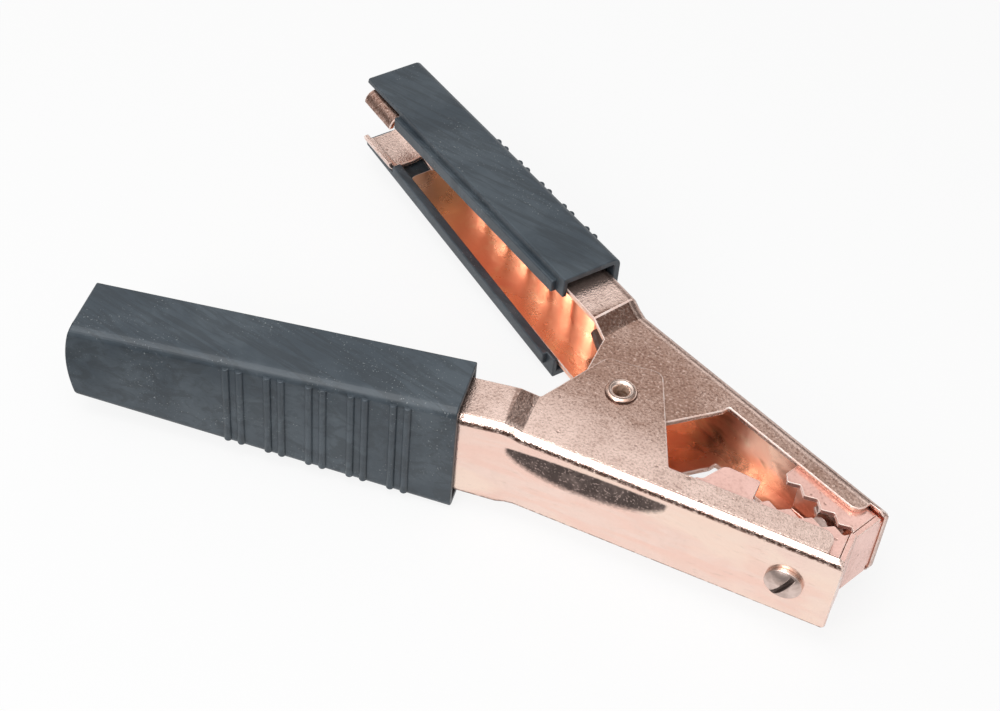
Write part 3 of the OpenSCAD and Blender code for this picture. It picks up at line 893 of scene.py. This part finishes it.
@dataclass
class JawHalf:
    """One pressed lever with its insert, screw, nut and grip, in millimetres.

    TRIMS holds what the photograph shows a little otherwise than the CAD: a shallower upper flange, a lug that
    starts further in, a rounder lower front corner, and smaller screws and nuts.
    """

    half: Half
    finishes: dict[str, bpy.types.Material]
    sheet_edge: float = 0.25
    insert_edge: float = 0.13
    steel_edge: float = 0.12
    grip_edge: float = 0.22
    slot_foot: float = 0.3
    slot_reach: float = 3.5
    slot_floor_reach: float = 3.7
    slot_floor: Span = (0.5, 1.3)
    handle_painted_light_end: float = 73.0
    faces_in: float = 0.35
    faces_out: float = 0.95
    edge_on: float = 0.3
    middle_strip: float = 2.0
    clearance: float = 0.05
    TRIMS: ClassVar[dict[str, tuple[Trim, ...]]] = {
        "outer_lever": (FrontCorner(3.4, 10.4),),
        "inner_lever": (Nudge((28.0, 70.0), (3.0, 6.9), -1.5),),
        "outer_jaw_insert": (Nudge((30.0, 37.2), (4.8, 7.6), 2.3),),
        "outer_screw": (Slimming(0.804),),
        "inner_screw": (Slimming(0.804),),
        "outer_nut": (Slimming(0.85),),
        "inner_nut": (Slimming(0.85),),
    }

    @property
    def prefix(self) -> str:
        """First word of this half's node names."""
        return self.half.body.split("_")[0]

    def build(self) -> list[bpy.types.Object]:
        """Dresses every node of the half.

        Returns:
            The pieces, in order.
        """
        copper = self.finishes[self.prefix + "_copper"]
        painted_light = self.finishes["painted_light"]
        plan = [
            ("lever", self.sheet_edge, copper, "copper_plate"),
            ("jaw_insert", self.insert_edge, self.finishes["insert_copper"], "copper_plate"),
            ("screw", self.steel_edge, self.finishes["screw_steel"], "plated_steel"),
            ("nut", self.steel_edge, self.finishes["screw_steel"], "plated_steel"),
            ("grip", self.grip_edge, self.finishes["grip"], "slate_plastic"),
        ]
        pieces = []
        tests = {"lever": self._inside_channel, "jaw_insert": self._inside_insert}
        for word, width, material, slot in plan:
            node = f"{self.prefix}_{word}"
            copy = SoftenedCopy(node, width, trims=self.TRIMS.get(node, ()))
            if word in tests:
                copy.painted_light = painted_light
                copy.gets_painted_light = tests[word]
                copy.edge_highlight = self.finishes["copper_edge"]
            elif word == "screw":
                copy.painted_light = self.finishes["slot_grime"]
                copy.gets_painted_light = self._inside_slot
            pieces.append(copy.build(self.half, material, slot))
        return pieces

    def _depth(self, place: Vector) -> tuple[float, float, Vector]:
        """Finds a place in the side view.

        Args:
            place: The place in millimetres.

        Returns:
            How far in from the web it is, how far back along the handle, and the inward direction there.
        """
        offset = place - Vector(BEND.corner(self.half.side))
        jaw, handle = Vector(BEND.jaw_inward(self.half.side)), Vector(BEND.handle_inward(self.half.side))
        back = offset.dot(Vector(BEND.handle_backward(self.half.side)))
        if offset.dot(handle) > offset.dot(jaw):
            return offset.dot(handle), back, handle
        return offset.dot(jaw), min(back, 0.0), jaw

    def _inside_channel(self, place: Vector, normal: Vector) -> bool:
        """True for a lever's face that looks into its channel."""
        _, back, inward = self._depth(place)
        half_width = BEND.ear_half[self.prefix] if back <= 0 else BEND.handle_half - BEND.handle_narrowing * back
        if back > self.handle_painted_light_end:
            return False
        return self._looks_in(place, normal, inward, half_width)

    def _looks_in(self, place: Vector, normal: Vector, inward: Vector, half_width: float) -> bool:
        """Tells whether a channel's face is on its inner side.

        Args:
            place: The face's middle in millimetres.
            normal: The way it faces.
            inward: The way in from the channel's web.
            half_width: Half the channel's outer width there.

        Returns:
            True for the inner side of the web or of a flange.
        """
        if normal.dot(inward) > self.faces_in:
            return abs(place.z) < half_width - BEND.sheet - self.clearance
        return abs(place.z) > self.middle_strip and normal.z * math.copysign(1.0, place.z) < -self.faces_in

    def _inside_slot(self, place: Vector, normal: Vector) -> bool:
        """True for a face of the slot in a screw's head."""
        corner, forward, inward = jaw_axes(self.half.side)
        offset = place - corner - forward * Slimming.along
        out = math.hypot(offset.dot(forward), offset.z)
        height, facing = -offset.dot(inward), -normal.dot(inward)
        if abs(facing) < self.edge_on:
            return out < self.slot_reach and height > self.slot_foot
        is_floor = self.slot_floor[0] < height < self.slot_floor[1]
        return is_floor and facing > self.faces_out and out < self.slot_floor_reach

    def _inside_insert(self, place: Vector, normal: Vector) -> bool:
        """True for an insert's face that looks into its trough."""
        _, _, inward = self._depth(place)
        return self._looks_in(place, normal, inward, BEND.ear_half[self.prefix] - BEND.sheet)


@dataclass
class TorsionSpring:
    """Coil round the rivet with a straight leg to each handle, in millimetres."""

    material: bpy.types.Material
    wire_radius: float = 1.15
    coil_radius: float = 4.9
    pitch: float = 2.5
    turns: int = 4
    leg_end: tuple[float, float] = (-20.027, 23.525)
    twist_reach: float = 4.2
    sides: int = 12
    steps_per_turn: int = 32

    def build(self) -> bpy.types.Object:
        """Winds the wire as one mesh.

        Returns:
            The spring.
        """
        reach = math.hypot(*self.leg_end)
        turn = math.atan2(self.leg_end[1], self.leg_end[0]) - math.acos(self.coil_radius / reach)
        sweep = math.tau * self.turns + 2 * turn
        half_height = self.pitch * sweep / (2 * math.tau)
        steps = round(sweep / math.tau * self.steps_per_turn)
        mesh = bmesh.new()
        ring = bmesh.ops.create_circle(mesh, cap_ends=False, segments=self.sides, radius=self.wire_radius * MM)
        stand = Matrix.Rotation(turn, 4, "Z") @ Matrix.Translation((self.coil_radius * MM, 0, -half_height * MM)) \
            @ Matrix.Rotation(math.pi / 2, 4, "X")
        bmesh.ops.transform(mesh, matrix=stand, verts=ring["verts"])
        first = list(mesh.edges)
        wound = bmesh.ops.spin(mesh, geom=first, cent=(0, 0, 0), axis=(0, 0, -1), angle=sweep, steps=steps,
                               dvec=(0, 0, 2 * half_height * MM / steps), use_duplicate=False)
        last = [item for item in wound["geom_last"] if isinstance(item, bmesh.types.BMEdge)]
        root = Vector((self.coil_radius * math.cos(turn), self.coil_radius * math.sin(turn), 0))
        leg = Vector((*self.leg_end, 0)) - root
        self._add_leg(mesh, first, leg)
        self._add_leg(mesh, last, Vector((leg.x, -leg.y, 0)))
        bmesh.ops.remove_doubles(mesh, verts=mesh.verts, dist=0.001 * MM)
        bmesh.ops.recalc_face_normals(mesh, faces=mesh.faces)
        for face in mesh.faces:
            face.smooth = len(face.verts) == 4
        spring = new_piece("torsion_spring_wound", mesh, self.material, None, "spring_wire")
        Half.INNER.body
        Half.OUTER.body
        -self.twist_reach * MM
        self.twist_reach * MM
        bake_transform(spring)
        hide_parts("torsion_spring")
        LOG.info("%s: %d steps round the rivet", spring.name, steps)
        return spring

    def _add_leg(self, mesh: bmesh.types.BMesh, ring: list[bmesh.types.BMEdge], leg: Vector) -> None:
        """Draws a ring of the wire out to a straight, closed leg.

        Args:
            mesh: The wire so far.
            ring: The edges of its open end.
            leg: The leg's length and way in millimetres.
        """
        tip = bmesh.ops.extrude_edge_only(mesh, edges=ring)["geom"]
        verts = [item for item in tip if isinstance(item, bmesh.types.BMVert)]
        bmesh.ops.translate(mesh, verts=verts, vec=leg * MM)
        end = [item for item in tip if isinstance(item, bmesh.types.BMEdge) and all(v in verts for v in item.verts)]
        bmesh.ops.contextual_create(mesh, geom=end)


@dataclass
class PivotRivet:
    """Hollow rivet with rolled rims."""

    finish: bpy.types.Material
    bore_finish: bpy.types.Material
    edge: float = 0.1
    bore_reach: float = 1.56

    def build(self) -> bpy.types.Object:
        """Dresses the rivet.

        Returns:
            The rivet.
        """
        copy = SoftenedCopy("pivot_rivet", self.edge, painted_light=self.bore_finish, gets_painted_light=self._in_bore)
        return copy.build(Half.OUTER, self.finish, "plated_steel")

    def _in_bore(self, place: Vector, normal: Vector) -> bool:
        """True for a face of the rivet's bore."""
        return place.xy.length < self.bore_reach and abs(normal.z) < 0.5


# ---- studio


@dataclass
class Studio:
    """White floor, soft lamps and the camera of the photograph, in millimetres."""

    camera_place: Point = (115.0, -227.2, 285.1)
    camera_target: Point = (-28.8, 1.0, 0.0)
    camera_roll: float = 5.861
    lens: float = 70.16
    floor_z: float = -14.32
    floor_reach: float = 1500.0
    floor_glow: float = 0.86
    far_sky: float = 1.0
    near_sky: float = 1.5
    dark_rim: float = 0.20
    plain_fill: float = 0.38
    near_split: Span = (-0.35, 0.45)
    near_rim: Span = (0.44, 0.60)
    far_rim_foot: Span = (0.22, 0.38)
    far_rim_top: Span = (0.50, 0.66)
    rear_left: Span = (-0.14, 0.04)
    rear_right: Span = (0.70, 0.90)
    rear_foot: Span = (0.30, 0.45)
    rear_top: Span = (0.86, 0.95)
    floor_front: Span = (-0.078, -0.050)
    floor_front_dimming: float = 0.85
    sensor_width: float = 36.0
    lamps: list[tuple[str, Point, Point, float, float]] = field(default_factory=lambda: [
        ("top_lamp", (-60.0, -120.0, 560.0), (0.0, 0.0, 0.0), 380.0, 1.35),
        ("front_lamp", (-30.0, -520.0, 400.0), (0.0, 0.0, 0.0), 300.0, 1.4),
    ])

    def build(self) -> None:
        """Sets up the floor, world, lamps and camera."""
        self._floor()
        self._world()
        for name, place, target, size, power in self.lamps:
            self._lamp(name, place, target, size, power)
        self._camera()
        LOG.info("studio: %d lamps", len(self.lamps))

    def _aim(self, place: Point, target: Point) -> Matrix:
        """Matrix that puts an object at a place and points its -Z at a target."""
        spot = Vector(place) * MM
        way = Vector(target) * MM - spot
        return Matrix.Translation(spot) @ way.to_track_quat("-Z", "Y").to_matrix().to_4x4()

    def _camera(self) -> None:
        """Camera fitted to the photograph, turned about its own axis."""
        data = bpy.data.cameras.new("photo_camera")
        data.lens = self.lens
        data.sensor_width = self.sensor_width
        data.sensor_fit = "HORIZONTAL"
        data.clip_start = 0.01
        camera = bpy.data.objects.new("photo_camera", data)
        roll = Matrix.Rotation(math.radians(self.camera_roll), 4, "Z")
        camera.matrix_world = self._aim(self.camera_place, self.camera_target) @ roll
        bpy.context.scene.collection.objects.link(camera)
        bpy.context.scene.camera = camera

    def _lamp(self, name: str, place: Point, target: Point, size: float, power: float) -> None:
        """One square area lamp."""
        data = bpy.data.lights.new(name, "AREA")
        data.energy = power
        data.size = size * MM
        lamp = bpy.data.objects.new(name, data)
        lamp.matrix_world = self._aim(place, target)
        bpy.context.scene.collection.objects.link(lamp)

    def _floor(self) -> None:
        """Wide pale floor that shows white and keeps a soft shadow."""
        mesh = bmesh.new()
        bmesh.ops.create_grid(mesh, x_segments=1, y_segments=1, size=self.floor_reach * MM)
        bmesh.ops.translate(mesh, verts=mesh.verts, vec=(0, 0, self.floor_z * MM))
        data = bpy.data.meshes.new("studio_floor")
        mesh.to_mesh(data)
        mesh.free()
        floor = bpy.data.objects.new("studio_floor", data)
        bpy.context.scene.collection.objects.link(floor)
        material, graph = new_material("studio_floor_white")
        paper = graph.node("ShaderNodeBsdfDiffuse", None, {"Color": (0.93, 0.93, 0.93)})
        camera, mirror = self._rays(graph)
        metres = graph.node("ShaderNodeTexCoord", output="Object")
        front = graph.node("ShaderNodeSeparateXYZ", None, {0: metres}, "Y").step(*self.floor_front)
        ahead = (1.0 - camera) * (1.0 - front)
        share = (camera + mirror) * (self.floor_glow + ahead * (1.0 - self.floor_glow))
        strength = 1.0 - ahead * self.floor_front_dimming
        glow = graph.node("ShaderNodeEmission", None, {"Color": (1.0, 1.0, 1.0), "Strength": strength})
        mixed = graph.node("ShaderNodeMixShader", None, {0: share, 1: paper, 2: glow})
        graph.finish("ShaderNodeOutputMaterial", mixed)
        data.materials.append(material)

    def _rays(self, graph: Graph) -> tuple[Term, Term]:
        """Tells the kinds of ray apart.

        Args:
            graph: A material's or the world's graph.

        Returns:
            1 for rays from the camera, and 1 for the others that come off metal or through glass.
        """
        camera = graph.node("ShaderNodeLightPath", output="Is Camera Ray")
        glossy = graph.node("ShaderNodeLightPath", output="Is Glossy Ray")
        through = graph.node("ShaderNodeLightPath", output="Is Transmission Ray")
        return camera, (glossy + through).clamp() * (1.0 - camera)

    def _world(self) -> None:
        """White for the camera; for metal a far and a brighter near sky with dark rims; a plain fill."""
        world = bpy.data.worlds.new("white_studio")
        bpy.context.scene.world = world
        world.use_nodes = True
        graph = Graph(world.node_tree)
        way = graph.node("ShaderNodeTexCoord", output="Generated")
        height = graph.node("ShaderNodeSeparateXYZ", None, {0: way}, "Z")
        depth = graph.node("ShaderNodeSeparateXYZ", None, {0: way}, "Y")
        across = graph.node("ShaderNodeSeparateXYZ", None, {0: way}, "X")
        near = 1.0 - depth.step(*self.near_split)
        near_rim = 1.0 - height.step(*self.near_rim)
        far_rim = height.step(*self.far_rim_foot) * (1.0 - height.step(*self.far_rim_top))
        behind = across.step(*self.rear_left) * (1.0 - across.step(*self.rear_right)) \
            * height.step(*self.rear_foot) * (1.0 - height.step(*self.rear_top))
        far_level = self.far_sky + far_rim.larger(behind) * (self.dark_rim - self.far_sky)
        near_level = self.near_sky + near_rim * (self.dark_rim - self.near_sky)
        sky = far_level + near * (near_level - far_level)
        camera, mirror = self._rays(graph)
        plain = (1.0 - camera) * (1.0 - mirror)
        strength = camera + mirror * sky + plain * self.plain_fill
        background = graph.node("ShaderNodeBackground", None, {"Color": (1.0, 1.0, 1.0), "Strength": strength})
        graph.finish("ShaderNodeOutputWorld", background)


def main() -> None:
    """Builds the dressed clip and its studio."""
    logging.basicConfig(level=logging.INFO, format="%(name)s: %(message)s")
    scene = bpy.context.scene
    scene.view_settings.view_transform = "Standard"
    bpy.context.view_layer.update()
    finishes = Finishes()
    materials = {entry.name: getattr(finishes, entry.name).build() for entry in fields(finishes)}
    for half in Half:
        for piece in JawHalf(half, materials).build():
            LOG.info("dressed %s", piece.name)
    PivotRivet(materials["rivet_steel"], materials["rivet_bore"]).build()
    TorsionSpring(materials["wire"]).build()
    Studio().build()


if __name__ == "__main__":
    main()
